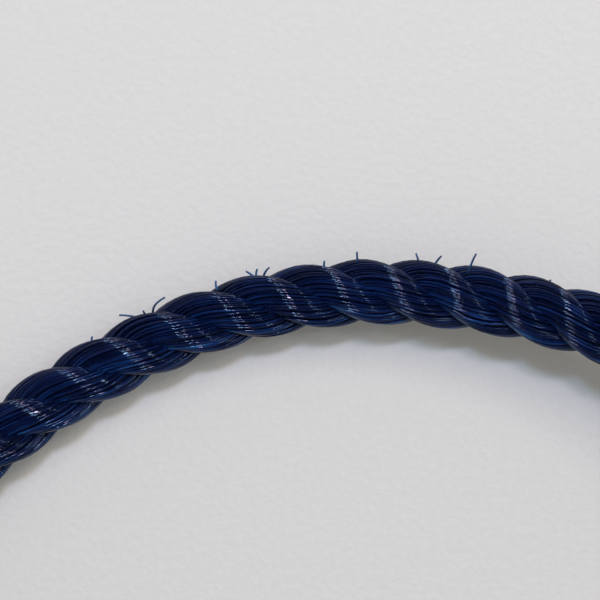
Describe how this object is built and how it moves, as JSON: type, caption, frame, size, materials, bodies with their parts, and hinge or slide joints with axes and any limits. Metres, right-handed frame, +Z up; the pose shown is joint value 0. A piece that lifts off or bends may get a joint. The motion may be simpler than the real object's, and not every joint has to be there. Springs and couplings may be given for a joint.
{
  "type": "coiled dock line",
  "caption": "Three-strand navy mooring line with a spliced eye, put away in a flat round coil held by straps, its eye laid out beside the coil.",
  "frame": {"origin": "middle of the bounding box's base, on the surface the coil lies on", "axes": "+Z up, out of the coil; +Y from the coil towards the top of the eye; +X to the right seen from above"},
  "size_m": [0.2272, 0.3188, 0.0444],
  "materials": {
    "line": "glossy navy monofilament polypropylene, three-strand",
    "splice": "the same strands, tucked",
    "whipping": "waxed twine",
    "fused_end": "melted filaments",
    "strap": "hook-and-loop webbing",
    "strap_ring": "moulded black plastic"
  },
  "bodies": {
    "root": {"coil_turns": "line", "eye_rope": "line", "lead_in": "line", "tail_rope": "line", "throat": "splice", "splice_body": "splice", "splice_taper": "splice", "end_whipping": "whipping", "fused_tip": "fused_end", "coil_strap_1": "strap", "coil_strap_2": "strap", "strap_ring_1": "strap_ring", "strap_ring_2": "strap_ring", "strap_end_1": "strap", "strap_end_2": "strap"}
  },
  "joints": []
}
